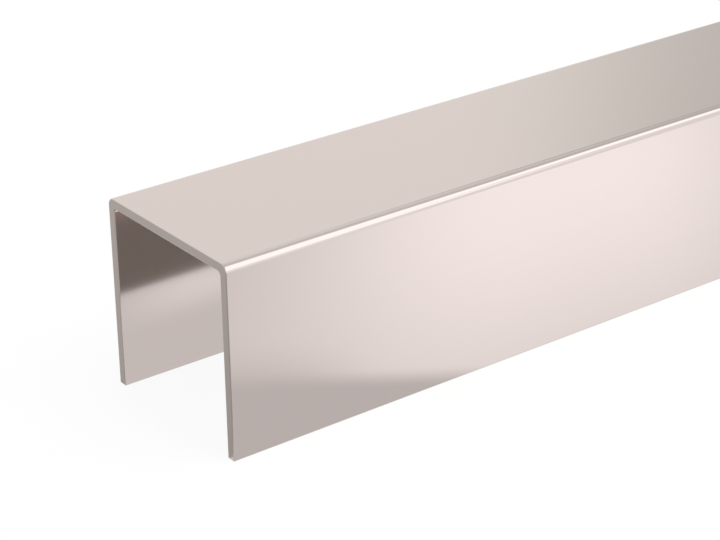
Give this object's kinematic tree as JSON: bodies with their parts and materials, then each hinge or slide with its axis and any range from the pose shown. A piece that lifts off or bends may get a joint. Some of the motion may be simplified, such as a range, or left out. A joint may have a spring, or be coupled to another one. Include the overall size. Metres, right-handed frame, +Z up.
{
  "type": "stainless steel u-channel",
  "caption": "Stock length of thin folded stainless steel U-channel with a flat web, two equal square legs and tight bends, lying open side down.",
  "frame": {"origin": "on the surface that the legs stand on, at the middle of the length and of the width", "axes": "+X along the length, +Y across the web, +Z up from the leg edges to the web"},
  "size_m": [1, 0.04, 0.04],
  "materials": {
    "satin_stainless": "smooth satin, fine even grain along the length"
  },
  "bodies": {
    "root": {"u_channel": "satin_stainless"}
  },
  "joints": []
}
